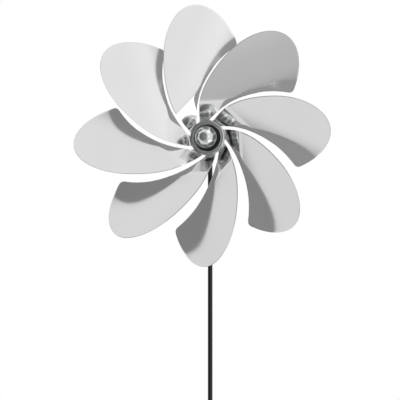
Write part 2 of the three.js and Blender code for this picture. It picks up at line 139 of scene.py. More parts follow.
def tent_light():
    """World brightness by direction d: a wall that brightens to the right, soft patches added to it,
    a dark opening about one direction, where the angle to d blends the wall into the dark, and a
    dimmer rear, which the sheet shows where it mirrors the back of the next wing. The camera's own
    background is plain white."""
    world = bpy.data.worlds.new("tent")
    bpy.context.scene.world = world
    world.use_nodes = True
    tree = world.node_tree
    tree.nodes.clear()
    d = node(tree, "ShaderNodeTexCoord").outputs["Generated"]

    def along(vector):
        return node(tree, "ShaderNodeVectorMath",
                    {"operation": "DOT_PRODUCT", "1": tuple(vector)}, i0=d).outputs["Value"]

    def scaled(value, gain, offset):
        return node(tree, "ShaderNodeMath",
                    {"operation": "MULTIPLY_ADD", "1": gain, "2": offset}, i0=value).outputs[0]

    sideways = along((1, 0, 0))
    upwards = along((0, 0, 1))

    def shaded(middle, right, up):
        return node(tree, "ShaderNodeMath", {"operation": "ADD"},
                    i0=scaled(sideways, right, middle), i1=scaled(upwards, up, 0)).outputs[0]

    def patch_of(toward, full, none):
        return node(tree, "ShaderNodeMapRange",
                    {"interpolation_type": "SMOOTHSTEP", "From Min": cos(radians(none)),
                     "From Max": cos(radians(full))}, Value=along(direction(*toward))).outputs[0]

    wall = shaded(*WALL)
    for toward, full, none, gain in SOFT_PATCHES:
        wall = node(tree, "ShaderNodeMath", {"operation": "MULTIPLY_ADD", "1": gain},
                    i0=patch_of(toward, full, none), i2=wall).outputs[0]
    front = node(tree, "ShaderNodeMix", {"data_type": "FLOAT"},
                 Factor=patch_of(OPENING_AT, *OPENING_EDGE), i2=wall, i3=shaded(*OPENING)).outputs[0]
    behind = node(tree, "ShaderNodeMapRange",
                  {"interpolation_type": "SMOOTHSTEP", "From Min": REAR_EDGE[0],
                   "From Max": REAR_EDGE[1]}, Value=along((0, 1, 0))).outputs[0]
    light = node(tree, "ShaderNodeMix", {"data_type": "FLOAT"}, Factor=behind, i2=front,
                 i3=shaded(*REAR)).outputs[0]
    seen = node(tree, "ShaderNodeLightPath").outputs["Is Camera Ray"]
    shown = node(tree, "ShaderNodeMix", {"data_type": "FLOAT", "3": 1.0},
                 Factor=seen, i2=light).outputs[0]
    background = node(tree, "ShaderNodeBackground", {"Color": (1, 1, 1, 1)}, Strength=shown)
    node(tree, "ShaderNodeOutputWorld", Surface=background.outputs[0])


tent_light()

# ---- wheel sheet ---------------------------------------------------------------------------------
# One blank of 0.8 mm stainless sheet in satin mill finish, laser cut with eight curved slots and
# pressed: each wing's neck climbs to the front, and the wing is folded at its neck and rolled
# gently. The cut edges are deburred. Sizes are in mm, about the wheel's axis.
WINGS = 8
SHEET = 0.8
HOLE_R = 13.6
ROOT_R = 18.6
SLOT_ARC_AT = 85.9
SLOT_ARC_TURN = radians(10.1)
CONCAVE_R = 96.9
CONVEX_R = 93.3
TIP_CENTRE = np.array((-2.2, 74.3))
TIP_HALF = (42.6, 69.2)
TIP_LEAN = radians(10.7)
CORNER_R = 5
FOLD_AT = 19.3
FOLD_LEAN = radians(25.1)
FOLD_ANGLE = radians(22)
FOLD_HALF_WIDTH = 1.2
FOLD_ENDS = 45
ROLL_R = 300
CLIMB_TURN = radians(136)
CLIMB_FROM = 19.5
CLIMB_EASE_IN = 4
CLIMB_STRAIGHT = 14
CLIMB_EASE_OUT = 5

generator = np.array((sin(FOLD_LEAN), cos(FOLD_LEAN)))
across = np.array((-generator[1], generator[0]))


def round_at(centre, r, angle):
    """Points of a circle: centre + r * (cos angle, sin angle), for an array of angles."""
    angle = np.asarray(angle, float)
    return np.asarray(centre) + r * np.stack((np.cos(angle), np.sin(angle)), -1)


def tip_at(angle):
    """Points of the tip ellipse: (a cos t, b sin t) turned by its lean and set on its centre."""
    t = np.asarray(angle, float)
    x, y = TIP_HALF[0] * np.cos(t), TIP_HALF[1] * np.sin(t)
    c, s = cos(TIP_LEAN), sin(TIP_LEAN)
    return TIP_CENTRE + np.stack((x * c - y * s, x * s + y * c), -1)


def solve(value, low, high):
    """Where value changes sign between low and high, by halving."""
    for _ in range(50):
        middle = (low + high) / 2
        if value(low) * value(middle) <= 0:
            high = middle
        else:
            low = middle
    return (low + high) / 2


SECTOR = 2 * pi / WINGS
concave_centre = round_at((0, 0), SLOT_ARC_AT, SLOT_ARC_TURN)
convex_centre = round_at((0, 0), SLOT_ARC_AT, SLOT_ARC_TURN + SECTOR)
concave_at = lambda t: round_at(concave_centre, CONCAVE_R, t)
convex_at = lambda t: round_at(convex_centre, CONVEX_R, t)
concave_fold = solve(lambda t: concave_at(t) @ across - FOLD_AT, radians(168), radians(182))
convex_fold = solve(lambda t: convex_at(t) @ across - FOLD_AT, radians(215), radians(228))
concave_root = solve(lambda t: hypot(*concave_at(t)) - ROOT_R, concave_fold, pi + SLOT_ARC_TURN)
convex_root = solve(lambda t: hypot(*convex_at(t)) - ROOT_R, convex_fold,
                    pi + SLOT_ARC_TURN + SECTOR)


def corner_centre_at(t):
    """Centre of the corner's circle where it touches the ellipse from inside at angle t."""
    tangent = tip_at(t + 1e-4) - tip_at(t - 1e-4)
    return tip_at(t) + CORNER_R * np.array((-tangent[1], tangent[0])) / hypot(*tangent)


tip_end = solve(lambda t: hypot(*(corner_centre_at(t) - concave_centre)) - CONCAVE_R - CORNER_R, 0, 1)
corner_centre = corner_centre_at(tip_end)
concave_end = atan2(*(corner_centre - concave_centre)[::-1])


def by_length(points, count):
    """Spreads count + 1 points evenly by length along a dense run of points."""
    run = np.concatenate(([0], np.cumsum(np.hypot(*np.diff(points, axis=0).T))))
    at = np.linspace(0, run[-1], count + 1)
    return np.stack([np.interp(at, run, points[:, i]) for i in (0, 1)], -1)


def wing_outline(rows, columns):
    """The four sides of the flat wing past the fold, as even runs of points: the concave edge, the
    convex edge (slot arc, a fair cubic, part of the ellipse), the top (ellipse, then the corner's
    arc, towards the right) and the fold line at the bottom."""
    leave, join, turn = radians(193), radians(163), radians(112)
    concave = concave_at(np.linspace(concave_fold, concave_end, 400))
    arc = convex_at(np.linspace(convex_fold, leave, 200))
    ellipse = tip_at(np.linspace(join, turn, 400))
    out = (arc[-1] - arc[-2]) / hypot(*(arc[-1] - arc[-2]))
    into = (ellipse[1] - ellipse[0]) / hypot(*(ellipse[1] - ellipse[0]))
    reach = hypot(*(ellipse[0] - arc[-1])) / 3
    u = np.linspace(0, 1, 60)[:, None]
    fair = ((1 - u) ** 3 * arc[-1] + 3 * u * (1 - u) ** 2 * (arc[-1] + reach * out)
            + 3 * u ** 2 * (1 - u) * (ellipse[0] - reach * into) + u ** 3 * ellipse[0])
    convex = np.concatenate((arc, fair[1:-1], ellipse))
    start = atan2(*(tip_at(tip_end) - corner_centre)[::-1])
    end = atan2(*(concave_centre - corner_centre)[::-1])
    corner = round_at(corner_centre, CORNER_R, np.linspace(start, end, 60))
    top = np.concatenate((tip_at(np.linspace(turn, tip_end, 600)), corner[1:]))
    bottom = np.stack((convex[0], concave[0]))
    return (by_length(concave, rows), by_length(convex, rows),
            by_length(top, columns), by_length(bottom, columns))


def patch(right, left, top, bottom):
    """Coons patch: rows run from bottom to top, columns from the left side to the right side."""
    v = np.linspace(0, 1, len(right))[:, None, None]
    u = np.linspace(0, 1, len(top))[None, :, None]
    ruled = (1 - u) * left[:, None] + u * right[:, None] + (1 - v) * bottom[None] + v * top[None]
    corners = ((1 - u) * (1 - v) * bottom[0] + u * (1 - v) * bottom[-1]
               + (1 - u) * v * top[0] + u * v * top[-1])
    return ruled - corners


def climb(flat):
    """Height of the neck's climb at flat points: along one direction its slope grows evenly over the
    ease-in, stays, and shrinks evenly over the ease-out, which sums to four cut-off squares."""
    past = flat @ round_at((0, 0), 1, CLIMB_TURN) - CLIMB_FROM
    square = lambda start: np.maximum(past - start, 0) ** 2
    fade = CLIMB_EASE_IN + CLIMB_STRAIGHT
    grown = (square(0) - square(CLIMB_EASE_IN)) / CLIMB_EASE_IN
    shrunk = (square(fade) - square(fade + CLIMB_EASE_OUT)) / CLIMB_EASE_OUT
    return CLIMB * (grown - shrunk) / (CLIMB_EASE_IN + 2 * CLIMB_STRAIGHT + CLIMB_EASE_OUT)


def rolled(flat):
    """Carries flat points (mm) into space. s is the distance past the fold line. The slope grows
    evenly to FOLD_ANGLE over the fold's small radius, and then by s / ROLL_R; run and rise are the
    sums of its cosine and sine. The neck's climb is added to the height."""
    s = flat @ across - FOLD_AT
    along = flat @ generator
    slope = FOLD_ANGLE + np.maximum(s, 0) / ROLL_R
    run = ROLL_R * (np.sin(slope) - sin(FOLD_ANGLE)) + np.minimum(s, 0) * cos(FOLD_ANGLE)
    rise = ROLL_R * (cos(FOLD_ANGLE) - np.cos(slope)) + np.minimum(s, 0) * sin(FOLD_ANGLE)
    # Across the fold, a parabola leaves the flat at -FOLD_HALF_WIDTH and meets the rolled side at
    # FOLD_HALF_WIDTH. Beyond FOLD_ENDS there is no fold, and the corner goes straight on.
    inner = along < FOLD_ENDS
    w = np.clip(s + FOLD_HALF_WIDTH, 0, None)
    eased_rise = np.where(s < FOLD_HALF_WIDTH, w ** 2 * tan(FOLD_ANGLE) / (4 * FOLD_HALF_WIDTH), rise)
    run = np.where(inner & (s < 0), s, run)
    rise = np.where(inner, np.maximum(eased_rise, 0), rise)
    place = (FOLD_AT + run)[..., None] * across + along[..., None] * generator
    return np.concatenate((place, (rise + climb(flat))[..., None]), -1)


def on_wheel(points):
    """Wheel coordinates in mm (right, up, front) to the object's frame in metres."""
    p = np.asarray(points, float) * MM
    return np.stack((hub.x + p[..., 0], hub.y - p[..., 2], hub.z + p[..., 1]), -1)


def turned_about_axis(points, angle):
    """Turns wheel coordinates anticlockwise, seen from the front."""
    c, s = cos(angle), sin(angle)
    return points @ np.array(((c, s, 0), (-s, c, 0), (0, 0, 1)))


def grid_faces(rows, columns, first=0, closed=False):
    """Quads of a grid of rows x columns points, numbered from first; closed joins the last column
    to the first."""
    i, j = np.meshgrid(np.arange(rows - 1), np.arange(columns if closed else columns - 1), indexing="ij")
    k = (j + 1) % columns
    near, far = i * columns, (i + 1) * columns
    return first + np.stack((near + j, near + k, far + k, far + j), -1).reshape(-1, 4)


def new_piece(name, points, faces, body, nodes, slot, material, weld=0, smooth=40):
    """Makes a mesh piece from points in metres and quads, smooth but for edges over an angle, hangs it on
    its body's empty and hides the CAD nodes it stands for. The slot argument is not used."""
    mesh = bpy.data.meshes.new(name)
    mesh.from_pydata(np.asarray(points).reshape(-1, 3).tolist(), [], np.asarray(faces).tolist())
    if weld:
        bm = bmesh.new()
        bm.from_mesh(mesh)
        bmesh.ops.remove_doubles(bm, verts=bm.verts, dist=weld)
        bmesh.ops.recalc_face_normals(bm, faces=bm.faces)
        bm.to_mesh(mesh)
        bm.free()
    mesh.polygons.foreach_set("use_smooth", np.ones(len(mesh.polygons), bool))
    mesh.set_sharp_from_angle(angle=radians(smooth))
    mesh.materials.append(material)
    piece = bpy.data.objects.new(name, mesh)
    bpy.context.collection.objects.link(piece)
    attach(piece, body)
    if nodes:
        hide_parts(*nodes)
    return piece


def satin_stainless():
    """Cold-rolled stainless with a satin mill finish: it mirrors soft shapes, a little blurred, with
    faint rolling lines, fingermarks and hair scratches."""
    m = bpy.data.materials.new("satin_stainless_sheet")
    m.use_nodes = True
    t = m.node_tree
    shader = t.nodes["Principled BSDF"]
    shader.inputs["Metallic"].default_value = 1
    place = node(t, "ShaderNodeTexCoord").outputs["Object"]
    # Smears a few centimetres across change the gloss slightly.
    smear = node(t, "ShaderNodeTexNoise", {"Scale": 22.0, "Detail": 3.0, "Roughness": 0.55}, Vector=place)
    gloss = node(t, "ShaderNodeMapRange", {"To Min": 0.09, "To Max": 0.14}, Value=smear.outputs["Fac"])
    t.links.new(gloss.outputs[0], shader.inputs["Roughness"])
    tone = node(t, "ShaderNodeMix", {"data_type": "RGBA", "6": linear("#dcdcdb"), "7": linear("#e2e3e3")},
                Factor=smear.outputs["Fac"])
    t.links.new(tone.outputs[2], shader.inputs["Base Color"])
    # Pressing leaves the sheet very slightly wavy over 30 to 60 mm.
    wave = node(t, "ShaderNodeTexNoise", {"Scale": 16.0, "Detail": 1.0}, Vector=place)
    bump = node(t, "ShaderNodeBump", {"Strength": 0.25, "Distance": 0.0006}, Height=wave.outputs["Fac"])
    grain = node(t, "ShaderNodeTexNoise", {"Scale": 900.0, "Detail": 2.0}, Vector=place)
    fine = node(t, "ShaderNodeBump", {"Strength": 0.05, "Distance": 0.00002},
                Height=grain.outputs["Fac"], Normal=bump.outputs[0])
    t.links.new(fine.outputs[0], shader.inputs["Normal"])
    return m


def wheel_sheet():
    """The sheet's middle surface: a flat ring between the hub hole and the slot ends, and for each
    wing a neck patch (from the ring to the fold) and a wing patch (from the fold to the tip). The
    Solidify modifier gives it its thickness, and Bevel its deburred edges."""
    rows, columns, neck_rows, slot_steps, ring_rows = 72, 36, 5, 6, 4
    concave, convex, top, bottom = wing_outline(rows, columns)
    wing = rolled(patch(concave, convex, top, bottom))
    root = [atan2(*p[::-1]) % (2 * pi) for p in (convex_at(convex_root), concave_at(concave_root))]
    arc = round_at((0, 0), ROOT_R, np.linspace(root[0], root[1], columns + 1))
    neck = rolled(patch(concave_at(np.linspace(concave_root, concave_fold, neck_rows)),
                        convex_at(np.linspace(convex_root, convex_fold, neck_rows)), bottom, arc))
    slot_arc = np.linspace(root[1], root[0] - SECTOR, slot_steps + 1)
    around = np.concatenate((np.linspace(root[0], root[1], columns + 1), slot_arc[1:-1]))
    radii = np.linspace(HOLE_R, ROOT_R, ring_rows)
    angles = np.concatenate([around - k * SECTOR for k in range(WINGS)])
    ring = np.stack([np.column_stack((round_at((0, 0), r, angles), np.zeros(len(angles))))
                     for r in radii])
    points = [ring.reshape(-1, 3)]
    faces = [grid_faces(ring_rows, len(angles), closed=True)]
    first = len(points[0])
    for k in range(WINGS):
        for part, n in ((neck, neck_rows), (wing, rows + 1)):
            points.append(turned_about_axis(part.reshape(-1, 3), -k * SECTOR))
            faces.append(grid_faces(n, columns + 1, first))
            first += len(points[-1])
    piece = new_piece("wheel_sheet_pressed", on_wheel(np.concatenate(points)), np.concatenate(faces),
                      "wheel", ["wheel_sheet"], "satin_steel", satin_stainless(), weld=0.01 * MM)
    thick = piece.modifiers.new("thickness", "SOLIDIFY")
    thick.thickness = SHEET * MM
    thick.offset = 0
    edge = piece.modifiers.new("deburred_edges", "BEVEL")
    edge.width = 0.15 * MM
    edge.segments = 2
    edge.limit_method = "ANGLE"
    edge.angle_limit = radians(60)


wheel_sheet()


# ---- turned hub ring ------------------------------------------------------------------------------
# Low-domed stainless ring on the front of the sheet, turned on a lathe and left satin: it clamps the
# sheet against the hub's flange and covers the slot ends. Four screws end in it from behind.
SAME_PLACE = 1e-7  # points closer than this are one, in metres


def eased(profile, radius, steps=4, closed=True):
    """Rounds each corner of a (radius, height) profile: the corner gives way to a quadratic curve
    between two points up to `radius` along its sides, never past 0.45 of a side."""
    p = np.asarray(profile, float)
    sides = np.roll(p, -1, 0) - p
    length = np.hypot(*sides.T)
    u = np.linspace(0, 1, steps + 1)[:, None]
    out = []
    for i in range(len(p)):
        if not closed and i in (0, len(p) - 1):
            out.append(p[i:i + 1])
            continue
        before = p[i] - sides[i - 1] * min(0.45, radius / length[i - 1])
        after = p[i] + sides[i] * min(0.45, radius / length[i])
        out.append((1 - u) ** 2 * before + 2 * u * (1 - u) * p[i] + u ** 2 * after)
    return np.concatenate(out)


def tube_faces(rows, columns):
    """Quads of a grid whose columns are rings and whose last row joins the first."""
    j = np.arange(columns)
    k = (j + 1) % columns
    last = (rows - 1) * columns
    return np.concatenate((grid_faces(rows, columns, closed=True),
                           np.stack((last + j, last + k, k, j), -1)))


def turned(name, profile, sides, body, nodes, slot, material, closed=True, place=on_wheel, **shading):
    """A turned piece: profile point (r, z) goes to (r cos a, r sin a, z) for `sides` angles a. A ring's
    section is closed; a solid's starts and ends on the axis. A radius may differ with the angle."""
    a = np.linspace(0, 2 * pi, sides, endpoint=False)
    r = np.stack([np.broadcast_to(np.asarray(p[0], float), a.shape) for p in profile])
    z = np.stack([np.broadcast_to(np.asarray(p[1], float), a.shape) for p in profile])
    points = np.stack((r * np.cos(a), r * np.sin(a), z), -1)
    faces = tube_faces(len(profile), sides) if closed else grid_faces(len(profile), sides, closed=True)
    return new_piece(name, place(points), faces, body, nodes, slot, material, weld=SAME_PLACE, **shading)


def lathe_marks(tree, place, lines_per_mm, depth):
    """Fine turning lines about the wheel axis, as a bump: rings round the Y axis through the hub. The
    wave texture draws a line each 2 pi / 20 of its length unit, so that many to the millimetre."""
    centred = node(tree, "ShaderNodeMapping", {"Location": tuple(-hub)}, Vector=place)
    rings = node(tree, "ShaderNodeTexWave",
                 {"wave_type": "RINGS", "rings_direction": "Y",
                  "Scale": lines_per_mm / MM / 20 * 2 * pi,
                  "Distortion": 0.6, "Detail": 2.0}, Vector=centred.outputs[0])
    return node(tree, "ShaderNodeBump", {"Strength": 0.3, "Distance": depth * MM},
                Height=rings.outputs["Fac"]).outputs[0]


def turned_stainless():
    """Turned stainless rubbed satin: slightly blurred mirror with faint rings from the tool."""
    m = bpy.data.materials.new("turned_satin_stainless")
    m.use_nodes = True
    t = m.node_tree
    shader = t.nodes["Principled BSDF"]
    shader.inputs["Metallic"].default_value = 1
    shader.inputs["Base Color"].default_value = linear("#cfd0d0")
    place = node(t, "ShaderNodeTexCoord").outputs["Object"]
    mottle = node(t, "ShaderNodeTexNoise", {"Scale": 300.0, "Detail": 3.0}, Vector=place)
    gloss = node(t, "ShaderNodeMapRange", {"To Min": 0.16, "To Max": 0.24}, Value=mottle.outputs["Fac"])
    t.links.new(gloss.outputs[0], shader.inputs["Roughness"])
    t.links.new(lathe_marks(t, place, 2.0, 0.01), shader.inputs["Normal"])
    return m


turned_steel = turned_stainless()
ring_section = [(13.9, 0.5), (19.15, 0.5), (19.15, 1.0), (18.4, 1.75), (16.9, 2.25), (15.6, 2.2),
                (14.4, 1.7), (13.9, 1.2)]
turned("hub_front_ring_turned", eased(ring_section, 0.6), 160, "wheel", ["hub_front_ring"], "satin_steel",
       turned_steel)

# ---- hub body, clip and hub screws ----------------------------------------------------------------
# Black glass-filled nylon, moulded: a barrel that holds the bearing, with a flange behind the sheet.
# A blackened spring clip keeps the bearing in. Four slotted steel screws hold flange, sheet and ring.
def moulded_nylon():
    """Black glass-filled nylon: dull, with the fine sparked grain of the mould and flow mottling."""
    m = bpy.data.materials.new("black_glass_filled_nylon")
    m.use_nodes = True
    t = m.node_tree
    shader = t.nodes["Principled BSDF"]
    place = node(t, "ShaderNodeTexCoord").outputs["Object"]
    flow = node(t, "ShaderNodeTexNoise", {"Scale": 120.0, "Detail": 4.0, "Distortion": 0.8}, Vector=place)
    tone = node(t, "ShaderNodeMix", {"data_type": "RGBA", "6": linear("#141516"), "7": linear("#1f2022")},
                Factor=flow.outputs["Fac"])
    t.links.new(tone.outputs[2], shader.inputs["Base Color"])
    gloss = node(t, "ShaderNodeMapRange", {"To Min": 0.42, "To Max": 0.6}, Value=flow.outputs["Fac"])
    t.links.new(gloss.outputs[0], shader.inputs["Roughness"])
    # The sparked grain is about 0.2 mm across.
    spark = node(t, "ShaderNodeTexNoise", {"Scale": 5000.0, "Detail": 2.0}, Vector=place)
    bump = node(t, "ShaderNodeBump", {"Strength": 0.4, "Distance": 0.00003}, Height=spark.outputs["Fac"])
    t.links.new(bump.outputs[0], shader.inputs["Normal"])
    return m


def black_oxide():
    """Blackened and oiled steel: a dark metal sheen, browner and duller where the oil has gone."""
    m = bpy.data.materials.new("black_oxide_steel")
    m.use_nodes = True
    t = m.node_tree
    shader = t.nodes["Principled BSDF"]
    shader.inputs["Metallic"].default_value = 1
    place = node(t, "ShaderNodeTexCoord").outputs["Object"]
    oil = node(t, "ShaderNodeTexNoise", {"Scale": 700.0, "Detail": 3.0}, Vector=place)
    tone = node(t, "ShaderNodeMix", {"data_type": "RGBA", "6": linear("#242527"), "7": linear("#3a3836")},
                Factor=oil.outputs["Fac"])
    t.links.new(tone.outputs[2], shader.inputs["Base Color"])
    gloss = node(t, "ShaderNodeMapRange", {"To Min": 0.28, "To Max": 0.5}, Value=oil.outputs["Fac"])
    t.links.new(gloss.outputs[0], shader.inputs["Roughness"])
    bump = node(t, "ShaderNodeBump", {"Strength": 0.2, "Distance": 0.00002}, Height=oil.outputs["Fac"])
    t.links.new(bump.outputs[0], shader.inputs["Normal"])
    return m


nylon = moulded_nylon()
blackened = black_oxide()
hub_section = [(9.5, -8), (13, -8), (13.5, -2.6), (18.2, -2.6), (18.2, -0.5), (13.5, -0.5), (13.5, 1.9),
               (11.05, 1.9), (11.05, 0.95), (11.8, 0.95), (11.8, 0.15), (11.05, 0.15), (11.05, -7.1),
               (9.5, -7.1)]
turned("hub_body_moulded", eased(hub_section, 0.35), 128, "wheel", ["hub_body"], "black_nylon", nylon)


def finish_node(name, material):
    """Gives a carried-over CAD node its material."""
    for slot in bpy.data.objects[name].material_slots:
        slot.material = material


def tumbled_stainless():
    """Stainless fastener steel, cold headed and tumbled: softly bright with tiny dents."""
    m = bpy.data.materials.new("tumbled_stainless_fastener")
    m.use_nodes = True
    t = m.node_tree
    shader = t.nodes["Principled BSDF"]
    shader.inputs["Metallic"].default_value = 1
    place = node(t, "ShaderNodeTexCoord").outputs["Object"]
    dents = node(t, "ShaderNodeTexNoise", {"Scale": 1500.0, "Detail": 3.0}, Vector=place)
    tone = node(t, "ShaderNodeMix", {"data_type": "RGBA", "6": linear("#b4b4b2"), "7": linear("#cacbca")},
                Factor=dents.outputs["Fac"])
    t.links.new(tone.outputs[2], shader.inputs["Base Color"])
    gloss = node(t, "ShaderNodeMapRange", {"To Min": 0.2, "To Max": 0.36}, Value=dents.outputs["Fac"])
    t.links.new(gloss.outputs[0], shader.inputs["Roughness"])
    bump = node(t, "ShaderNodeBump", {"Strength": 0.25, "Distance": 0.00004}, Height=dents.outputs["Fac"])
    t.links.new(bump.outputs[0], shader.inputs["Normal"])
    return m


fastener_steel = tumbled_stainless()
for k in range(4):
    finish_node("hub_screw_%d" % (k + 1), fastener_steel)
finish_node("bearing_clip", blackened)

# ---- ball bearing ---------------------------------------------------------------------------------
# A sealed 8 x 22 x 7 bearing: ground rings, pressed tin shields and seven balls in a cage. The outer
# ring turns with the hub, the inner ring stays on the axle.
def ground_steel():
    """Ground and honed bearing steel: bright, with very fine rings, and a trace of grease."""
    m = bpy.data.materials.new("ground_bearing_steel")
    m.use_nodes = True
    t = m.node_tree
    shader = t.nodes["Principled BSDF"]
    shader.inputs["Metallic"].default_value = 1
    place = node(t, "ShaderNodeTexCoord").outputs["Object"]
    grease = node(t, "ShaderNodeTexNoise", {"Scale": 400.0, "Detail": 3.0}, Vector=place)
    tone = node(t, "ShaderNodeMix", {"data_type": "RGBA", "6": linear("#a9abad"), "7": linear("#c6c8ca")},
                Factor=grease.outputs["Fac"])
    t.links.new(tone.outputs[2], shader.inputs["Base Color"])
    gloss = node(t, "ShaderNodeMapRange", {"To Min": 0.12, "To Max": 0.3}, Value=grease.outputs["Fac"])
    t.links.new(gloss.outputs[0], shader.inputs["Roughness"])
    t.links.new(lathe_marks(t, place, 4.0, 0.004), shader.inputs["Normal"])
    return m


bearing_steel = ground_steel()
BALL_CIRCLE_R = 7.5
MIDDLE = -3.5
GROOVE_R = 2.03
LAND_GAP = 1.2
groove_edge = acos(LAND_GAP / GROOVE_R)


def ball_track(side):
    """The race: an arc of radius GROOVE_R about the ball circle, between the two lands."""
    t = np.linspace(-groove_edge, groove_edge, 13)
    return [(BALL_CIRCLE_R + side * GROOVE_R * cos(a), MIDDLE + GROOVE_R * sin(a)) for a in t]


outer_section = [(9.7, -7), (11, -7), (11, 0), (9.7, 0), (9.7, -0.45), (8.7, -0.45), *ball_track(1)[::-1],
                 (8.7, -6.55), (9.7, -6.55)]
turned("bearing_outer_ring_ground", eased(outer_section, 0.25, steps=3), 96, "wheel",
       ["bearing_outer_ring"], "bearing_steel", bearing_steel)
inner_section = [(4, -7), (6, -7), (6.3, -6.7), *ball_track(-1), (6.3, -0.3), (6, 0), (4, 0)]
turned("bearing_inner_ring_ground", eased(inner_section, 0.25, steps=3), 96, "stand",
       ["bearing_inner_ring"], "bearing_steel", bearing_steel)
for side, low in (("front", -0.4), ("rear", -6.95)):
    # The pressed shield is 0.35 mm thick, and a little thinner round its middle.
    dish = [(6.55, low), (7.3, low + 0.03), (8.9, low), (9.65, low), (9.65, low + 0.35),
            (8.9, low + 0.35), (7.3, low + 0.32), (6.55, low + 0.35)]
    turned("bearing_%s_shield_pressed" % side, eased(dish, 0.08, steps=2), 96, "wheel",
           ["bearing_%s_shield" % side], "bearing_steel", bearing_steel)


def polished_steel():
    """Steel polished to a mirror: the faintest buffing haze, and a few hairline marks."""
    m = bpy.data.materials.new("mirror_polished_stainless")
    m.use_nodes = True
    t = m.node_tree
    shader = t.nodes["Principled BSDF"]
    shader.inputs["Metallic"].default_value = 1
    shader.inputs["Base Color"].default_value = linear("#d6d7d8")
    place = node(t, "ShaderNodeTexCoord").outputs["Object"]
    haze = node(t, "ShaderNodeTexNoise", {"Scale": 260.0, "Detail": 4.0, "Distortion": 1.2}, Vector=place)
    gloss = node(t, "ShaderNodeMapRange", {"To Min": 0.03, "To Max": 0.09}, Value=haze.outputs["Fac"])
    t.links.new(gloss.outputs[0], shader.inputs["Roughness"])
    bump = node(t, "ShaderNodeBump", {"Strength": 0.03, "Distance": 0.00003}, Height=haze.outputs["Fac"])
    t.links.new(bump.outputs[0], shader.inputs["Normal"])
    return m


mirror = polished_steel()
finish_node("bearing_ball_cage", mirror)

# ---- axle, nut, washer and spacers ------------------------------------------------------------------
# A turned stainless stud, fixed: its tail goes through the head block and takes the nut, its front
# end carries the ball. A nylon spacer holds the bearing off the block, a steel one holds the ball.
axle_section = [(0, -23.5), (2.45, -23.5), (2.95, -23), (2.95, -7.02), (3.95, -7), (3.95, 0), (2.45, 0.02),
                (2.45, 8.6), (1.95, 9.1), (0, 9.1)]
turned("axle_turned", eased(axle_section, 0.2, closed=False), 64, "stand", ["axle"], "fastener_steel",
       fastener_steel, closed=False)
turned("front_spacer_turned", eased([(2.5, 0.1), (5.6, 0.1), (5.6, 1.5), (2.5, 1.5)], 0.25), 64, "stand",
       ["front_spacer"], "fastener_steel", fastener_steel)
turned("rear_spacer_moulded", eased([(3.0, -8.5), (5.6, -8.5), (5.6, -7.1), (3.0, -7.1)], 0.3), 64, "stand",
       ["rear_spacer"], "black_nylon", nylon)
turned("nut_washer_stamped", eased([(3.05, -18.3), (6, -18.3), (6, -17.1), (3.05, -17.1)], 0.3), 64,
       "stand", ["nut_washer"], "fastener_steel", fastener_steel)


def hexagon(half_width, angles):
    """Radius of a hexagon's side at each angle: half_width / cos of the angle from the nearest flat."""
    return half_width / np.cos((angles + pi / 6) % (pi / 3) - pi / 6)


NUT_SIDES = 96
CONE_SLOPE = 0.577  # tangent of 30 degrees


def chamfered_nut():
    """Hexagon nut: at each angle the side runs between two heights, where a 30 degree cone from each
    face meets the hexagon, so the corners are cut back in curves."""
    half_width, face_r, bore_r, countersink_r = 5, 4.75, 3.0, 3.4
    countersink = countersink_r - bore_r
    a = np.linspace(0, 2 * pi, NUT_SIDES, endpoint=False) + pi / 6
    side = hexagon(half_width, a)
    drop = (side - face_r) * CONE_SLOPE
    back, front = -23.2, -18.4
    flat = np.zeros_like(a)
    return [(bore_r + flat, back + countersink), (countersink_r + flat, back), (face_r + flat, back),
            (side, back + drop), (side, front - drop), (face_r + flat, front),
            (countersink_r + flat, front), (bore_r + flat, front - countersink)]


turned("axle_nut_chamfered", chamfered_nut(), NUT_SIDES, "stand", ["axle_nut"], "fastener_steel",
       fastener_steel, smooth=25)

# ---- head block and its grub screw ------------------------------------------------------------------
# Black nylon block on top of the rod: the axle passes through its round head, the rod enters from
# below, and a blackened grub screw from behind locks the rod.
BLOCK_HALF = 5
BLOCK_BOTTOM = -18
BLOCK_TOP_CENTRE = 3.0
BLOCK_CORNER_R = 0.9
BLOCK_EDGE = 0.7
GRUB_BELOW = 12.0  # the grub screw below the wheel's axis


def block_outline(inset, count=160):
    """Outline of the block drawn in by `inset`: straight sides and bottom with small round corners,
    and a half circle on top, spread evenly by length, from the middle of the bottom."""
    w = BLOCK_HALF - inset
    bottom = BLOCK_BOTTOM + inset
    corner = max(BLOCK_CORNER_R - inset, 0.05)
    quarter = np.linspace(0, pi / 2, 12)
    right = round_at((w - corner, bottom + corner), corner, quarter - pi / 2)
    top = round_at((0, BLOCK_TOP_CENTRE), w, np.linspace(0, pi, 80))
    left = round_at((corner - w, bottom + corner), corner, quarter + pi)
    run = np.concatenate(([(0, bottom)], right, top, left, [(0, bottom)]))
    return by_length(run, count)[:-1]


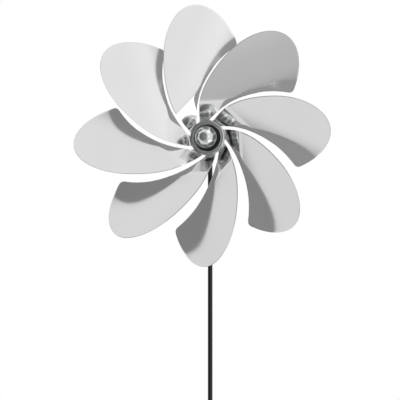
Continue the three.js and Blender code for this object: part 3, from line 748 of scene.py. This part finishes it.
def head_block():
    """Rows from the middle of the front face, out over a rounded edge, back along the sides, over the
    rear edge, in to the grub screw's hole and down it. Each row is the outline at some inset, or a
    circle with its points in the same directions."""
    front, rear = -8.6, -17.0
    hole_r, hole_end, hole_lip = 1.5, -12.8, 0.15
    grub_at = np.array((0, -GRUB_BELOW))
    a = np.linspace(0, pi / 2, 7)
    outline = block_outline(BLOCK_EDGE)
    ray = outline - grub_at
    ray = ray / np.hypot(*ray.T)[:, None]
    circle = lambda r: grub_at + r * ray
    flat = [(circle(0.0), front), (circle(2.0), front)]
    rim = [(block_outline(BLOCK_EDGE * (1 - sin(t))), front - BLOCK_EDGE * (1 - cos(t))) for t in a]
    back_rim = [(block_outline(BLOCK_EDGE * (1 - cos(t))), rear + BLOCK_EDGE * (1 - sin(t))) for t in a]
    hole = [(circle(hole_r + hole_lip), rear), (circle(hole_r), rear + hole_lip),
            (circle(hole_r), hole_end), (circle(0.0), hole_end)]
    rows = flat + rim + back_rim + hole
    points = np.stack([np.column_stack((xy, np.full(len(xy), z))) for xy, z in rows])
    return on_wheel(points), grid_faces(len(rows), len(outline), closed=True)


new_piece("head_block_moulded", *head_block(), "stand", ["head_block"], "black_nylon", nylon,
          weld=SAME_PLACE)


GRUB_SIDES = 48
GRUB_R = 1.45


def grub_profile(low, length):
    """Headless screw: a hexagon socket at the low end, chamfered edges, a plain cup end."""
    a = np.linspace(0, 2 * pi, GRUB_SIDES, endpoint=False)
    socket = hexagon(0.8, a)
    flat = np.zeros_like(a)
    high = low + length
    return [(flat, low + 1.3), (socket, low + 1.2), (socket, low + 0.08), (socket + 0.08, low),
            (GRUB_R - 0.2 + flat, low), (GRUB_R + flat, low + 0.2), (GRUB_R + flat, high - 0.4),
            (GRUB_R - 0.4 + flat, high), (0.5 + flat, high), (flat, high - 0.3)]


def behind_rod(points):
    """Head grub screw: local Z is the wheel's, GRUB_BELOW under the axis."""
    return on_wheel(points + np.array((0, -GRUB_BELOW, 0)))


ROD_BEHIND = 12.6
ROD_R = 2.5
HEAD_GRUB = 3.2
turned("head_grub_screw_black", grub_profile(-ROD_BEHIND - ROD_R - 0.1 - HEAD_GRUB, HEAD_GRUB), GRUB_SIDES,
       "stand", ["head_grub_screw"], "black_oxide", blackened, closed=False, place=behind_rod, smooth=30)

# ---- rod: two sections, sleeve and screws -----------------------------------------------------------
# Round steel rod, stove-lacquered black. The lower section ends in a ground point that is pushed into
# the soil; the upper one stands in a sleeve, where two blackened grub screws hold both.
def stove_lacquer():
    """Black stoving lacquer on steel: glossy with a slight orange peel about 1.5 mm across, rubbed
    through to grey steel at the very tip of the ground point."""
    m = bpy.data.materials.new("black_stoving_lacquer")
    m.use_nodes = True
    t = m.node_tree
    shader = t.nodes["Principled BSDF"]
    place = node(t, "ShaderNodeTexCoord").outputs["Object"]
    height = node(t, "ShaderNodeSeparateXYZ", Vector=place).outputs["Z"]
    rub = node(t, "ShaderNodeTexNoise", {"Scale": 260.0, "Detail": 4.0}, Vector=place)
    low = node(t, "ShaderNodeMapRange", {"From Min": -0.199, "From Max": -0.188, "To Min": 0.75,
                                         "To Max": 0.0}, Value=height)
    worn = node(t, "ShaderNodeMath", {"operation": "ADD"}, i0=low.outputs[0], i1=rub.outputs["Fac"])
    bare = node(t, "ShaderNodeMapRange", {"From Min": 0.95, "From Max": 1.05}, Value=worn.outputs[0])
    tone = node(t, "ShaderNodeMix", {"data_type": "RGBA", "6": linear("#0e0f10"), "7": linear("#8f8d8a")},
                Factor=bare.outputs[0])
    t.links.new(tone.outputs[2], shader.inputs["Base Color"])
    t.links.new(bare.outputs[0], shader.inputs["Metallic"])
    dust = node(t, "ShaderNodeTexNoise", {"Scale": 60.0, "Detail": 3.0}, Vector=place)
    gloss = node(t, "ShaderNodeMapRange", {"To Min": 0.24, "To Max": 0.4}, Value=dust.outputs["Fac"])
    t.links.new(gloss.outputs[0], shader.inputs["Roughness"])
    peel = node(t, "ShaderNodeTexNoise", {"Scale": 650.0, "Detail": 1.0}, Vector=place)
    bump = node(t, "ShaderNodeBump", {"Strength": 0.15, "Distance": 0.00006}, Height=peel.outputs["Fac"])
    t.links.new(bump.outputs[0], shader.inputs["Normal"])
    return m


lacquer = stove_lacquer()
JOINT = 340.0  # where the two sections meet
SCREW_FROM_JOINT = 14
SCREW_HEAD_AT = 5.0  # from the rod's axis


def upright(points):
    """Millimetres on the rod's own axis to metres."""
    return np.asarray(points) * MM


lower_section = [(0, -200), (0.5, -199.6), (ROD_R, -178), (ROD_R, JOINT - 0.1), (0, JOINT - 0.1)]
turned("rod_lower_lacquered", eased(lower_section, 0.4, closed=False), 48, "stand", ["rod_lower"],
       "black_lacquer", lacquer, closed=False, place=upright)
upper_section = [(0, JOINT + 0.1), (ROD_R, JOINT + 0.1), (ROD_R, 853.6), (2.1, 854), (0, 854)]
turned("rod_upper_lacquered", eased(upper_section, 0.3, closed=False), 48, "stand", ["rod_upper"],
       "black_lacquer", lacquer, closed=False, place=upright)


def sleeve():
    """Tube of radius 4 round the rods, with two screw holes on its rear side. A point within the
    hole's radius of a screw, measured round the tube and along it, is sunk 1.4 mm, over a 0.25 mm
    rounded lip. The grid is finer near the holes."""
    outer, lip, sink, screw_r = 4.0, 0.25, 1.4, 1.5
    near, reach, end = 0.62, 2.4, 24.5
    low, high = SCREW_FROM_JOINT - reach, SCREW_FROM_JOINT + reach
    a = np.concatenate((np.linspace(-near, near, 61), np.linspace(near, 2 * pi - near, 40)[1:-1])) + pi / 2
    fine = np.linspace(-reach, reach, 61)
    z = np.concatenate((np.linspace(-end, -high, 12)[:-1], fine - SCREW_FROM_JOINT,
                        np.linspace(-low, low, 30)[1:-1], fine + SCREW_FROM_JOINT,
                        np.linspace(high, end, 12)[1:]))
    turn, height = np.meshgrid(a, z)
    round_the_tube = ((turn - pi / 2 + pi) % (2 * pi) - pi) * outer
    distance = np.minimum(*(np.hypot(round_the_tube, height - side * SCREW_FROM_JOINT)
                            for side in (-1, 1)))
    inside = np.clip((screw_r - distance) / lip + 0.5, 0, 1)
    r = outer - sink * inside ** 2 * (3 - 2 * inside)
    ends = [(2.6, -24.6), (2.8, -25), (3.5, -25), (3.85, -24.85)]
    r = np.concatenate([np.full((1, len(a)), e[0]) for e in ends] + [r]
                       + [np.full((1, len(a)), e[0]) for e in ends[::-1]])
    height = np.concatenate([np.full((1, len(a)), e[1]) for e in ends] + [height]
                            + [np.full((1, len(a)), -e[1]) for e in ends[::-1]])
    turn = np.broadcast_to(a, r.shape)
    points = np.stack((r * np.cos(turn), r * np.sin(turn), height + JOINT), -1)
    return upright(points), tube_faces(len(r), len(a))


new_piece("rod_sleeve_lacquered", *sleeve(), "stand", ["rod_sleeve"], "black_lacquer", lacquer,
          weld=SAME_PLACE, smooth=50)
for name, side in (("upper", 1), ("lower", -1)):
    def from_rear(points, side=side):
        """Sleeve screw: local Z points from the outside (+Y) to the rod."""
        p = np.asarray(points)
        height = p[..., 1] + JOINT + side * SCREW_FROM_JOINT
        return upright(np.stack((p[..., 0], SCREW_HEAD_AT - p[..., 2], height), -1))

    turned("sleeve_screw_%s_black" % name, grub_profile(0.0, 2.4), GRUB_SIDES, "stand",
           ["sleeve_screw_%s" % name], "black_oxide", blackened, closed=False, place=from_rear, smooth=30)

# ---- polished ball --------------------------------------------------------------------------------
# Steel ball screwed on the front of the axle, polished to a mirror, with its back faced off flat.
BALL_R = 12
BALL_CENTRE = 7.5
BALL_BACK = 1.6
start = -asin((BALL_CENTRE - BALL_BACK) / BALL_R)
t = np.linspace(start, pi / 2, 72)
arc = np.column_stack((BALL_R * np.cos(t), BALL_CENTRE + BALL_R * np.sin(t)))
arc[-1, 0] = 0
bore = [(0, 9.6), (2.5, 9.2), (2.5, 1.9), (2.8, BALL_BACK), (10.1, BALL_BACK)]
ball_section = np.concatenate((bore, arc))
turned("polished_ball_mirror", ball_section, 144, "stand", ["polished_ball"], "polished_steel", mirror,
       closed=False)
